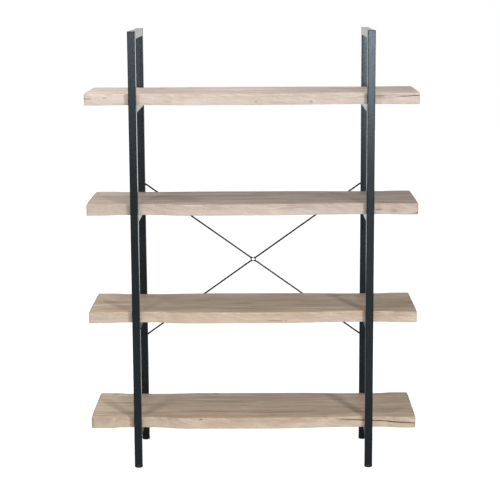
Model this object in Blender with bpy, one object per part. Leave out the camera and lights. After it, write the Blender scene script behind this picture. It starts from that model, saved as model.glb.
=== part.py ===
"""Open bookcase: two black steel side frames, four thick oak shelves and a rear cross brace.

Metres, +Z up. X runs along the shelves and +Y to the rear. The floor is z = 0, and the origin
lies under the middle of the whole object.
"""
import math

import bmesh
import bpy
from mathutils import Euler, Vector

# Overall sizes
overall_height = 1.470
frame_depth = 0.356
shelf_length = 1.100
shelf_overhang = 0.147

# Shelves, counted from the top down
shelf_count = 4
lowest_shelf_top = 0.172
head_room = 0.203
shelf_thickness = 0.037
shelf_side_gap = 0.0006
shelf_edge_chamfer = 0.0015
shelf_corner_radius = 0.005

# Uneven long edges: necks at the uprights, swellings between them and on the ends
front_middle_swell = 0.019
rear_middle_swell = 0.007
end_swell = 0.011
front_left_ramp_start = 0.040
front_left_ramp_end = 0.150
front_right_ramp_start = 0.020
front_right_ramp_end = 0.340
rear_ramp_start = 0.060
rear_ramp_end = 0.200
end_ramp_start = 0.038
end_ramp_end = 0.090
edge_stations = 34

# Square steel tube of the side frames
tube_size = 0.0254
tube_wall = 0.0015
tube_corner_radius = 0.0025
corner_steps = 2
hanging_hole_radius = 0.003

# Caps in the upright tops
cap_flange = 0.0025
cap_edge_chamfer = 0.0006
cap_skirt = 0.012
cap_skirt_wall = 0.0018

# Pan-head wood screws, up through the shelf rails into the shelves
screw_radius = 0.00225
screw_head_radius = 0.0045
screw_head_height = 0.0028
screw_grip = 0.022
screw_row_spacing = 0.200
pilot_spare_depth = 0.001

# Button-head bolts that hold the brace to the rear uprights
bolt_radius = 0.003
bolt_head_radius = 0.0065
bolt_head_height = 0.0034
bolt_length = 0.016

# Both kinds of head: height of the straight rim and width of the flat crown, as shares
head_rim_share = 0.4
head_crown_share = 0.6

# Rear cross brace, bolted just above shelf 2 and well below shelf 3
upper_bolts_above_shelf = 0.033
lower_bolts_below_shelf = 0.160
rod_radius = 0.003
rod_end_radius = 0.0025
rod_end_stickout = 0.0006
rod_thread_runout = 0.0012
rod_shoulder = 0.0005
ring_wall = 0.0016
ring_web = 0.0005
ring_width = 0.0115
rod_nut_across_flats = 0.008
rod_nut_height = 0.004
eye_radius = 0.007
eye_thickness = 0.0024
eye_length = 0.018
rod_taper_length = 0.010

# Levelling feet
foot_radius = 0.01375
foot_height = 0.011
foot_lower_rounding = 0.003
foot_upper_rounding = 0.0015
foot_screw_radius = 0.004
foot_screw_length = 0.025
foot_screw_tip_chamfer = 0.001
plug_flange = 0.0015
plug_length = 0.020

# Clearances: between pieces that rest on each other, and what a cut runs past a face
seat_gap = 0.0003
cut_overrun = 0.002
merge_distance = 0.00001

# Flatness of the rod's forged end, as a share of its round section
rod_flat_share = 0.33

# Sides of round pieces
small_sides = 12
hidden_sides = 8
foot_sides = 24
ring_sides = 24
rounding_steps = 3
smooth_angle = math.radians(35)

# Places that follow from the sizes above
frame_width = shelf_length - 2 * shelf_overhang
shelf_pitch = (overall_height - head_room - lowest_shelf_top) / (shelf_count - 1)
post_x = frame_width / 2 - tube_size / 2
post_y = frame_depth / 2 - tube_size / 2
tube_bottom = foot_height + plug_flange + 2 * seat_gap
tube_top = overall_height - cap_flange - seat_gap
rail_length = frame_depth - 2 * tube_size - 2 * seat_gap
neck_half_depth = frame_depth / 2 - tube_size - shelf_side_gap
rod_nut_corner_radius = rod_nut_across_flats / 2 / math.cos(math.pi / 6)
rod_end_length = rod_end_stickout + ring_wall + seat_gap + rod_nut_height + rod_thread_runout
brace_reach = seat_gap + rod_radius + max(rod_nut_corner_radius, ring_width / 2)
bolt_reach = 2 * seat_gap + eye_thickness + bolt_head_height
front_overhang = foot_radius - tube_size / 2
frame_middle_y = (front_overhang - max(brace_reach, bolt_reach)) / 2
sides = (("left", -1), ("right", 1))
ends = (("front", -1), ("rear", 1))
along_x = (0, math.pi / 2, 0)
along_y = (-math.pi / 2, 0, 0)
into_frame = (math.pi / 2, 0, 0)
upside_down = (math.pi, 0, 0)


# Scene, materials and the object that carries everything

def clear_scene():
    for old in list(bpy.data.objects):
        bpy.data.objects.remove(old, do_unlink=True)


def linear(hex_colour):
    """sRGB hex text to linear RGBA."""
    channels = [int(hex_colour[i:i + 2], 16) / 255 for i in (0, 2, 4)]
    return [c / 12.92 if c <= 0.04045 else ((c + 0.055) / 1.055) ** 2.4 for c in channels] + [1]


def finish_material(name, hex_colour, roughness, metallic):
    material = bpy.data.materials.new(name)
    material.use_nodes = True
    shader = material.node_tree.nodes["Principled BSDF"]
    shader.inputs["Base Color"].default_value = linear(hex_colour)
    shader.inputs["Roughness"].default_value = roughness
    shader.inputs["Metallic"].default_value = metallic
    return material


def place(name, mesh, material, location, rotation=(0, 0, 0)):
    """One object, placed from the middle of the side frames."""
    piece = bpy.data.objects.new(name, mesh)
    bpy.context.scene.collection.objects.link(piece)
    if not mesh.materials:
        mesh.materials.append(material)
    piece.location = location
    piece.rotation_euler = rotation
    piece.parent = bookcase
    return piece


def middle_marker():
    """The empty that carries every piece, at the middle of the side frames on the floor."""
    marker = bpy.data.objects.new("bookcase", None)
    bpy.context.scene.collection.objects.link(marker)
    marker.location = (0, frame_middle_y, 0)
    return marker


# Shapes shared by several pieces

def mesh_from(bm, name):
    """A mesh with its faces turned outwards and its round parts shaded smooth."""
    bmesh.ops.remove_doubles(bm, verts=bm.verts, dist=merge_distance)
    bmesh.ops.recalc_face_normals(bm, faces=bm.faces)
    mesh = bpy.data.meshes.new(name)
    bm.to_mesh(mesh)
    bm.free()
    mesh.shade_smooth()
    mesh.set_sharp_from_angle(angle=smooth_angle)
    return mesh


def turned(name, profile, steps, closed=False):
    """A profile of (radius, height) points turned about Z; a closed one leaves a bore."""
    bm = bmesh.new()
    points = [bm.verts.new((radius, 0, height)) for radius, height in profile]
    pairs = list(zip(points, points[1:]))
    if closed:
        pairs.append((points[-1], points[0]))
    lines = [bm.edges.new(pair) for pair in pairs]
    bmesh.ops.spin(bm, geom=points + lines, cent=(0, 0, 0), axis=(0, 0, 1),
                   angle=math.tau, steps=steps, use_merge=True)
    return mesh_from(bm, name)


def rounded_square_face(bm, size):
    """A square face with rounded corners in the plane z = 0."""
    bmesh.ops.create_grid(bm, x_segments=1, y_segments=1, size=size / 2)
    bmesh.ops.bevel(bm, geom=bm.verts[:], offset=tube_corner_radius, segments=corner_steps,
                    profile=0.5, affect='VERTICES', material=-1)
    return bm.faces[:]


def thicken(bm, faces, offset):
    """Makes a flat sheet into a solid and returns the moved faces."""
    grown = bmesh.ops.extrude_face_region(bm, geom=faces)["geom"]
    moved = [item for item in grown if isinstance(item, bmesh.types.BMVert)]
    bmesh.ops.translate(bm, verts=moved, vec=offset)
    return [item for item in grown if isinstance(item, bmesh.types.BMFace)]


def pull(bm, faces, distance):
    """Extrudes faces of a solid along Z and returns the moved faces."""
    moved = thicken(bm, faces, (0, 0, distance))
    bmesh.ops.delete(bm, geom=faces, context='FACES_ONLY')
    return moved


def square_tube(name, length):
    """A hollow square tube along Z, open at both ends."""
    bm = bmesh.new()
    start = rounded_square_face(bm, tube_size)
    bmesh.ops.inset_region(bm, faces=start, thickness=tube_wall, use_boundary=True)
    bmesh.ops.delete(bm, geom=start, context='FACES_ONLY')
    thicken(bm, bm.faces[:], (0, 0, length))
    return mesh_from(bm, name)


def tube_plug(name, flange, body_length):
    """A plug for a tube's end: its flange spans z = 0 to flange, its body goes down from there."""
    bm = bmesh.new()
    underside = rounded_square_face(bm, tube_size)
    top = thicken(bm, underside, (0, 0, flange))
    bmesh.ops.inset_region(bm, faces=underside, thickness=tube_wall + seat_gap)
    base = pull(bm, underside, -body_length)
    return bm, top, base


def hexagon_nut(name, corner_radius, height, bore_radius):
    """A plain six-sided nut about Z, from z = 0 up."""
    bm = bmesh.new()
    outer = bmesh.ops.create_circle(bm, segments=6, radius=corner_radius, cap_ends=False)["verts"]
    rim = list({edge for vert in outer for edge in vert.link_edges})
    bmesh.ops.subdivide_edges(bm, edges=rim, cuts=1)
    bmesh.ops.create_circle(bm, segments=small_sides, radius=bore_radius, cap_ends=False)
    bmesh.ops.bridge_loops(bm, edges=bm.edges[:])
    thicken(bm, bm.faces[:], (0, 0, height))
    return mesh_from(bm, name)


def headed(name, shank_radius, head_radius, head_height, length):
    """A bolt or screw about Z: its shank goes up from z = 0, its domed head down."""
    profile = [
        (0, -head_height),
        (head_radius * head_crown_share, -head_height),
        (head_radius, -head_height * head_rim_share),
        (head_radius, 0),
        (shank_radius, 0),
        (shank_radius, length),
        (0, length),
    ]
    return turned(name, profile, small_sides)


def drill(target, name, places, radius, reach, steps, rotation=(0, 0, 0)):
    """Cuts round holes: each runs by reach both ways from its place along the rotated Z axis."""
    bm = bmesh.new()
    for spot in places:
        made = bmesh.ops.create_cone(bm, cap_ends=True, segments=steps, radius1=radius,
                                     radius2=radius, depth=2 * reach)["verts"]
        bmesh.ops.rotate(bm, verts=made, cent=(0, 0, 0), matrix=turn(rotation))
        bmesh.ops.translate(bm, verts=made, vec=spot)
    combine(target, name, mesh_from(bm, name), 'DIFFERENCE')


def combine(target, name, mesh, operation, location=(0, 0, 0), rotation=(0, 0, 0)):
    """Joins a hidden shape to the target, or cuts it out."""
    shape = place(name, mesh, target.data.materials[0], location, rotation)
    shape.hide_render = True
    shape.display_type = 'WIRE'
    step = target.modifiers.new(name, 'BOOLEAN')
    step.operation = operation
    step.object = shape


def turn(rotation):
    """The rotation matrix of three Euler angles."""
    return Euler(rotation).to_matrix()


# Side frames

def shelf_top(index):
    """Height of a shelf's upper face, with shelf 1 at the top."""
    return lowest_shelf_top + (shelf_count - index) * shelf_pitch


def shelf_rail_middle(index):
    return shelf_top(index) - shelf_thickness - seat_gap - tube_size / 2


def build_uprights():
    mesh = square_tube("upright", tube_top - tube_bottom)
    for side_name, side in sides:
        for end_name, end in ends:
            upright = place(f"{side_name}_{end_name}_upright", mesh, powder_coat,
                            (side * post_x, end * post_y, tube_bottom))
            if end_name == "rear":
                spots = [(side * post_x, frame_depth / 2, height) for height in bolt_heights()]
                drill(upright, f"{side_name}_brace_bolt_cutter", spots, bolt_radius + seat_gap,
                      tube_wall + cut_overrun, small_sides, along_y)


def build_top_rails():
    mesh = square_tube("top_rail", rail_length)
    height = overall_height - tube_size / 2
    for side_name, side in sides:
        rail = place(f"{side_name}_top_rail", mesh, powder_coat,
                     (side * post_x, -rail_length / 2, height), along_y)
        inner_face = side * (frame_width / 2 - tube_size)
        drill(rail, f"{side_name}_hanging_hole_cutter", [(inner_face, 0, height)],
              hanging_hole_radius, tube_wall + cut_overrun, small_sides, along_x)


def build_shelf_rails():
    mesh = square_tube("shelf_rail", rail_length)
    for side_name, side in sides:
        for index in range(1, shelf_count + 1):
            height = shelf_rail_middle(index)
            rail = place(f"{side_name}_shelf_rail_{index}", mesh, powder_coat,
                         (side * post_x, -rail_length / 2, height), along_y)
            spots = [(side * post_x, y, height) for y in screw_rows()]
            drill(rail, f"{side_name}_rail_{index}_cutter", spots, screw_radius + seat_gap,
                  tube_size / 2 + cut_overrun, hidden_sides)


def build_top_caps():
    for side_name, side in sides:
        for end_name, end in ends:
            bm, top, base = tube_plug("top_cap", cap_flange, cap_skirt)
            rim = [edge for face in top for edge in face.edges]
            bmesh.ops.bevel(bm, geom=rim, offset=cap_edge_chamfer, segments=1, profile=0.5,
                            affect='EDGES', material=-1)
            bmesh.ops.inset_region(bm, faces=base, thickness=cap_skirt_wall)
            pull(bm, base, cap_skirt)
            place(f"{side_name}_{end_name}_top_cap", mesh_from(bm, "top_cap"), black_plastic,
                  (side * post_x, end * post_y, tube_top + seat_gap))


# Shelves and the screws that hold them down

def ramp(distance, start, full):
    """Smooth rise from 0 at start to 1 at full."""
    part = min(max((distance - start) / (full - start), 0), 1)
    return part * part * (3 - 2 * part)


def swell(x, middle_swell, start, full):
    """How far a long edge stands out past its necks at x."""
    if abs(x) > frame_width / 2:
        return end_swell * ramp(abs(x) - frame_width / 2, end_ramp_start, end_ramp_end)
    return middle_swell * ramp(frame_width / 2 - tube_size - abs(x), start, full)


def front_edge(x):
    if x < 0:
        return -neck_half_depth - swell(x, front_middle_swell, front_left_ramp_start,
                                        front_left_ramp_end)
    return -neck_half_depth - swell(x, front_middle_swell, front_right_ramp_start,
                                    front_right_ramp_end)


def rear_edge(x):
    return neck_half_depth + swell(x, rear_middle_swell, rear_ramp_start, rear_ramp_end)


def shelf_mesh():
    """A thick board with necks and swellings along its long edges, z = 0 at its underside."""
    bm = bmesh.new()
    stations = [shelf_length * (step / edge_stations - 1 / 2) for step in range(edge_stations + 1)]
    outline = [(x, front_edge(x)) for x in stations] + [(x, rear_edge(x)) for x in stations[::-1]]
    underside = bm.faces.new([bm.verts.new((x, y, 0)) for x, y in outline])
    thicken(bm, [underside], (0, 0, shelf_thickness))
    bmesh.ops.recalc_face_normals(bm, faces=bm.faces)
    corners = [edge for edge in bm.edges if stands_at_corner(edge)]
    bmesh.ops.bevel(bm, geom=corners, offset=shelf_corner_radius, segments=corner_steps, profile=0.5,
                    affect='EDGES', material=-1)
    rims = [edge for edge in bm.edges if edge.verts[0].co.z == edge.verts[1].co.z]
    bmesh.ops.bevel(bm, geom=rims, offset=shelf_edge_chamfer, segments=1, profile=0.5,
                    affect='EDGES', material=-1)
    return mesh_from(bm, "shelf")


def stands_at_corner(edge):
    """True for the four upright edges at the shelf's corners."""
    low, high = (vert.co for vert in edge.verts)
    return low.z != high.z and abs(abs(low.x) - shelf_length / 2) < merge_distance


def build_shelves():
    mesh = shelf_mesh()
    for index in range(1, shelf_count + 1):
        underside = shelf_top(index) - shelf_thickness
        shelf = place(f"shelf_{index}", mesh, oak, (0, 0, underside))
        spots = [(x, y, underside) for _, x, y in screw_places()]
        drill(shelf, f"shelf_{index}_pilot_cutter", spots, screw_radius + seat_gap,
              screw_grip + pilot_spare_depth, hidden_sides)


def screw_rows():
    return [end * screw_row_spacing / 2 for _, end in ends]


def screw_places():
    """Name, X and Y of the four screws that hold one shelf."""
    return [(f"{side_name}_{end_name}", side * post_x, y)
            for side_name, side in sides for (end_name, _), y in zip(ends, screw_rows())]


def build_shelf_screws():
    length = tube_size + 2 * seat_gap + screw_grip
    mesh = headed("shelf_screw", screw_radius, screw_head_radius, screw_head_height, length)
    for index in range(1, shelf_count + 1):
        head_seat = shelf_rail_middle(index) - tube_size / 2 - seat_gap
        for corner, x, y in screw_places():
            place(f"shelf_{index}_{corner}_screw", mesh, zinc_steel, (x, y, head_seat))


# Rear cross brace

def bolt_heights():
    """Heights of the lower and the upper brace bolts."""
    return (shelf_top(3) - lower_bolts_below_shelf, shelf_top(2) + upper_bolts_above_shelf)


def brace_middle():
    """Where the rods meet, midway between both rows of bolts, just behind the rear uprights."""
    return Vector((0, frame_depth / 2 + seat_gap + rod_radius, sum(bolt_heights()) / 2))


def brace_corners():
    """Name, direction and length of each rod, from the ring out to its bolt."""
    corners = []
    for side_name, side in sides:
        for level_name, height in zip(("lower", "upper"), bolt_heights()):
            reach = Vector((side * post_x, 0, height - brace_middle().z))
            corners.append((f"{level_name}_{side_name}", reach.normalized(), reach.length))
    return corners


def ring_radii():
    """Inner and outer radius: the ring leaves a web between the holes of neighbouring rods."""
    narrowest = min(min(abs(direction.x), abs(direction.z)) for _, direction, _ in brace_corners())
    inner = (rod_end_radius + seat_gap + ring_web / 2) / narrowest
    return inner, inner + ring_wall


def aim(direction):
    """Rotation that lays the local Z axis along a direction in the brace's plane."""
    return (0, math.atan2(direction.x, direction.z), 0)


def rod_mesh(length):
    """A round rod along Z, thinner where it is threaded and forged flat at its outer end."""
    start = ring_radii()[0] - rod_end_stickout
    shoulder_end = start + rod_end_length + rod_shoulder
    taper_start = length - eye_length - rod_taper_length / 2
    bm = bmesh.new()
    made = bmesh.ops.create_circle(bm, segments=small_sides, radius=rod_end_radius,
                                   cap_ends=True)["verts"]
    bmesh.ops.translate(bm, verts=made, vec=(0, 0, start))
    threaded = thicken(bm, bm.faces[:], (0, 0, rod_end_length))
    shoulder = pull(bm, threaded, rod_shoulder)
    rim = list({vert for face in shoulder for vert in face.verts})
    widening = rod_radius / rod_end_radius
    bmesh.ops.scale(bm, verts=rim, vec=(widening, widening, 1))
    shaft = pull(bm, shoulder, taper_start - shoulder_end)
    flat = pull(bm, shaft, rod_taper_length)
    tip = list({vert for face in flat for vert in face.verts})
    bmesh.ops.scale(bm, verts=tip, vec=(1, rod_flat_share, 1))
    bmesh.ops.translate(bm, verts=tip, vec=(0, eye_thickness / 2 - rod_radius, 0))
    return mesh_from(bm, "brace_rod")


def eye_mesh(length):
    """The rod's flattened eye: a tapered plate with a round end about the bolt."""
    bm = bmesh.new()
    arc = [math.pi * step / small_sides for step in range(small_sides + 1)]
    outline = [(eye_radius * math.cos(a), length + eye_radius * math.sin(a)) for a in arc]
    outline += [(-rod_radius, length - eye_length), (rod_radius, length - eye_length)]
    near = eye_thickness - rod_radius
    face = bm.faces.new([bm.verts.new((x, near, z)) for x, z in outline])
    thicken(bm, [face], (0, -eye_thickness, 0))
    return mesh_from(bm, "brace_eye")


def build_brace_rods():
    middle = brace_middle()
    for name, direction, length in brace_corners():
        rod = place(f"{name}_brace_rod", rod_mesh(length), powder_coat, middle, aim(direction))
        combine(rod, f"{name}_eye_blank", eye_mesh(length), 'UNION', middle, aim(direction))
        bolt_spot = middle + direction * length
        drill(rod, f"{name}_eye_cutter", [bolt_spot], bolt_radius + seat_gap,
              rod_radius + cut_overrun, small_sides, along_y)


def build_brace_ring():
    half = ring_width / 2
    inner, outer = ring_radii()
    profile = [(inner, -half), (outer, -half), (outer, half), (inner, half)]
    middle = brace_middle()
    ring = place("brace_ring", turned("brace_ring", profile, ring_sides, closed=True),
                 powder_coat, middle, along_y)
    for name, direction, _ in brace_corners():
        wall_middle = middle + direction * (inner + outer) / 2
        reach = ring_wall / 2 + cut_overrun
        drill(ring, f"{name}_ring_cutter", [wall_middle], rod_end_radius + seat_gap, reach,
              small_sides, aim(direction))


def build_brace_fixings():
    middle = brace_middle()
    nut = hexagon_nut("rod_nut", rod_nut_corner_radius, rod_nut_height, rod_end_radius + seat_gap)
    bolt = headed("brace_bolt", bolt_radius, bolt_head_radius, bolt_head_height, bolt_length)
    head_seat = frame_depth / 2 + 2 * seat_gap + eye_thickness
    for name, direction, length in brace_corners():
        nut_seat = middle + direction * (ring_radii()[1] + seat_gap)
        place(f"{name}_rod_nut", nut, powder_coat, nut_seat, aim(direction))
        eye = middle + direction * length
        place(f"{name}_brace_bolt", bolt, powder_coat, (eye.x, head_seat, eye.z), into_frame)


# Levelling feet

def rounding(radius, height, size, start_angle):
    """Points of a quarter circle on a turned profile, about a corner's inner point."""
    steps = [start_angle + math.pi / 2 * step / rounding_steps
             for step in range(rounding_steps + 1)]
    return [(radius + size * math.cos(a), height + size * math.sin(a)) for a in steps]


def foot_mesh():
    """A round pad moulded round the head of its screw."""
    lower = rounding(foot_radius - foot_lower_rounding, foot_lower_rounding,
                     foot_lower_rounding, -math.pi / 2)
    upper = rounding(foot_radius - foot_upper_rounding, foot_height - foot_upper_rounding,
                     foot_upper_rounding, 0)
    tip = foot_height + foot_screw_length
    screw = [(foot_screw_radius, foot_height), (foot_screw_radius, tip - foot_screw_tip_chamfer),
             (foot_screw_radius - foot_screw_tip_chamfer, tip), (0, tip)]
    return turned("foot", [(0, 0)] + lower + upper + screw, foot_sides)


def build_feet():
    mesh = foot_mesh()
    for side_name, side in sides:
        for end_name, end in ends:
            corner = f"{side_name}_{end_name}"
            place(f"{corner}_foot", mesh, black_plastic, (side * post_x, end * post_y, 0))
            build_foot_plug(corner, side * post_x, end * post_y)


def build_foot_plug(corner, x, y):
    """The threaded plug that closes an upright's lower end and takes the foot's screw."""
    bm, _, _ = tube_plug("foot_plug", plug_flange, plug_length)
    height = tube_bottom - seat_gap
    plug = place(f"{corner}_foot_plug", mesh_from(bm, "foot_plug"), black_plastic,
                 (x, y, height), upside_down)
    drill(plug, f"{corner}_plug_cutter", [(x, y, height)], foot_screw_radius + seat_gap,
          plug_length + plug_flange + cut_overrun, foot_sides)


clear_scene()
bookcase = middle_marker()
powder_coat = finish_material("black_powder_coat", "24292B", 0.42, 0)
oak = finish_material("washed_oak", "D2C0AE", 0.6, 0)
black_plastic = finish_material("black_nylon", "17191A", 0.5, 0)
zinc_steel = finish_material("zinc_plated_steel", "9A9C9C", 0.35, 1)
build_uprights()
build_top_rails()
build_shelf_rails()
build_top_caps()
build_shelves()
build_shelf_screws()
build_brace_rods()
build_brace_ring()
build_brace_fixings()
build_feet()
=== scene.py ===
"""Looks of an open bookcase: washed oak boards in side frames of black powder-coated steel tube.

Metres, +Z up, in the frame of the CAD: X runs along the shelves and +Y to the rear.
"""

import math

import bmesh
import bpy
import numpy as np
from mathutils import Euler, Matrix, Vector, noise


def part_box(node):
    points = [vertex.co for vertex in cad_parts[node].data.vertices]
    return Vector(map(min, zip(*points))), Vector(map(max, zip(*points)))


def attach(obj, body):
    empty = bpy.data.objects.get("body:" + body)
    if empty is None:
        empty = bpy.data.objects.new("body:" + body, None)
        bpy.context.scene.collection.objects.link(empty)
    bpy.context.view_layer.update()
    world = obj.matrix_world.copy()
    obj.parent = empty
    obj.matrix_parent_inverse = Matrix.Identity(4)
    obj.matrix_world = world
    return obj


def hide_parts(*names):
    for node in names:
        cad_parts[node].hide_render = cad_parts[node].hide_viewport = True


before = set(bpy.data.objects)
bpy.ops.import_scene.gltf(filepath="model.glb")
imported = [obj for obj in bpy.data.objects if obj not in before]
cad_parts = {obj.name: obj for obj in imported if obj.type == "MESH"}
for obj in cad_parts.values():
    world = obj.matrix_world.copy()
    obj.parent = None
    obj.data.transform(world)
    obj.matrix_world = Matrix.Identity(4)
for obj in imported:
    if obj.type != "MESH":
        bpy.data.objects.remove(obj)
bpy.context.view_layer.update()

# The photograph's camera, for a picture of 500 by 500 pixels
picture_side = 500
focal_pixels = 1544.567
sensor_width_mm = 36
camera_place = (0.0434295, -5.2232792, 1.6274743)
camera_yaw = -0.0101501
camera_pitch = 0.1721642
camera_roll = -0.0053405

# Lamps: place, side of the square and power in watts, all turned to one point
lamps = {
    "left_softbox": ((-0.95, -1.6, 1.9), 0.3, 9),
    "right_softbox": ((1.9, -4.0, 2.2), 0.4, 93),
    "front_left_softbox": ((-0.8, -5.0, 1.35), 0.6, 11.2),
    "front_right_softbox": ((0.75, -5.0, 1.35), 0.6, 44),
    "ceiling_softbox": ((0, -0.3, 3.6), 2.0, 8),
    "upper_left_softbox": ((-1.2, -0.2, 3.0), 1.2, 26),
}
lamp_target = (0, 0, 0.75)

# World: strengths, and how far rearward or upward a direction points where they change
ambient_strength = (0.06, 0.20)
ambient_fade = (-0.3, 0.6)
background_strength = 1.0
room_strength = 0.11
backdrop_fade = (-0.5, 0.4)
backdrop_glare = 1.3
glare_fade = (-0.02, 0.15)

# Floor: its glow from near to far, and where its reflected part turns into the backdrop
glow_strength = (0.93, 1.0)
glow_reach = (0.8, 3.0)
backdrop_reach = (2.6, 4.6)
floor_mirrored = 0.12
floor_grey = 0.5
floor_roughness = 0.9
floor_radius = 12
floor_segments = 64

# Boards of washed oak
board_station = 0.005
board_rows = 8
board_layers = 6
corner_steps = 5
largest_corner = 0.016
edge_wander = 0.0012
edge_wander_length = 0.070
rear_seed = 10
hewn_depth = 0.0009
hewn_length = 0.028
hewn_seed = 3
arris_wear = 0.0007
arris_wear_length = 0.012
wear_seed = 5
arris_radius = 0.0016
arris_steps = 3
edge_zone_share = 0.4
corner_skip = 0.006
place_digits = 5
level_normal = 0.7
crack_sides = 4
crack_fewest_parts = 4
crack_depth = 0.006
crack_wander = 0.0012
crack_wander_length = 0.02
crack_tip_share = 0.15
crack_widening = 3
edge_reach = 0.54

# Meshes
merge_distance = 0.00001
sliver_length = 0.000002
smooth_angle = math.radians(35)
round_sides = 32
dome_steps = 6
dome_rim_share = 0.3
hexagon_sides = 6

# Weld beads where the rails meet the uprights
bead_radius = 0.0021
seam_width = 0.0044
seam_height = 0.0007
bead_sides = 10
bead_ripples = 9
ripple_share = 0.14
bead_bluntness = 6
bead_tip_share = 0.2

# Screws, bolts, nuts and threads
screw_radius = 0.00225
screw_head_radius = 0.0045
screw_head_height = 0.0028
screw_plain_length = 0.028
screw_tip_length = 0.0045
screw_pitch = 0.0018
recess_width = 0.0010
recess_length = 0.0050
recess_depth = 0.0018
bolt_radius = 0.003
bolt_head_radius = 0.0065
bolt_head_height = 0.0034
bolt_pitch = 0.001
socket_across_flats = 0.004
socket_depth = 0.0020
bolt_neck = 0.003
nut_across_flats = 0.008
nut_height = 0.004
nut_chamfer = 0.0005
rod_radius = 0.003
rod_end_radius = 0.0025
rod_pitch = 0.0008
rod_end_stickout = 0.0006
rod_thread_runout = 0.0012
rod_shoulder = 0.0005
rod_clearance = 0.0003
ring_wall = 0.0016
eye_radius = 0.007
eye_thickness = 0.0024
eye_length = 0.018
eye_round_share = 0.5
eye_neck_share = 0.5
eye_rim = 0.0005
eye_rim_steps = 2
rod_taper_length = 0.010
rod_half_flat_share = 0.7
rod_flat_share = 0.33
foot_pitch = 0.00125
foot_screw_radius = 0.004
foot_screw_tip = 0.001
pad_height = 0.011
pad_radius = 0.01375
pad_lower_rounding = 0.003
pad_upper_rounding = 0.0015
pad_groove = 0.0005
thread_steps = 16
thread_depth_share = 0.6
thread_crest = (0.44, 0.56)
thread_spare_turns = 2
thread_inset = 0.00003

# Patterns in the oak: real sizes, but for streaks, rings and pores, which are drawn coarser
grain_bend_length = 0.30
grain_bend = 0.035
streak_width = 0.0075
streak_length = 0.17
broad_width = 0.055
broad_length = 0.5
ring_spacing = 0.009
pore_width = 0.0012
pore_length = 0.016
mineral_width = 0.012
mineral_length = 0.32
stroke_width = 0.008
stroke_length = 0.075
stroke_slant = math.radians(13)
streak_depth = 0.02
blush_width = 0.03
blush_length = 0.12
knot_squeeze = 0.5
knot_reach = 4
knot_spread = 0.8
knot_core_share = 0.35
streak_roughness = 0.6
ring_waviness = 7.0
grain_depth = 0.0004
grain_bump = 0.8

# How strongly each pattern colours the oak, and the values between which it fades in or out
ring_share = 0.14
broad_share = 0.36
stroke_range = (0.15, 0.85)
tone_fade = (0.34, 0.66)
blush_fade = (0.42, 0.62)
blush_strength = 0.32
pore_fade = (0.60, 0.74)
pore_strength = 0.35
mineral_fade = (0.57, 0.74)
mineral_strength = 0.60
streak_fade = (0.2, 1.1)
feather_fade = (0.35, 0.6)
feather_strength = (0.35, 0.75)
knot_strength = 0.85
# Painted light: share of the edge colour on the long edges at the underside and at the top
painted_edge_light = (0.55, 0.15)

# Powder coat, moulded plastic and zinc
peel_spacing = 0.0015
peel_depth = 0.00003
handling_spacing = 0.06
spark_grain = 0.0012

# Colours, from the darkest spots to the palest where there are two
coat_colours = ("0A0D0E", "101416")
coat_sheen = "D5E8F8"
nylon_colours = ("121415", "1D2021")
zinc_colours = ("8E9091", "B0B2B2")
# Crack walls: raw wood, painted dark for the shade inside the cracks
crack_shade_colours = ("3A2B20", "5C4737")
blush_colour = "FFE6DC"
pore_colour = "8A7462"
mineral_colour = "937A66"
# Also the colour of the painted shade on the top board's top
streak_and_shade_colour = "84694F"
knot_colour = "5E4A3A"

# Roughness, from the smoothest spots to the dullest
coat_roughness = (0.24, 0.30)
nylon_roughness = (0.42, 0.58)
zinc_roughness = (0.28, 0.42)
oak_roughness = (0.52, 0.68)
crack_roughness = 0.85
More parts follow.
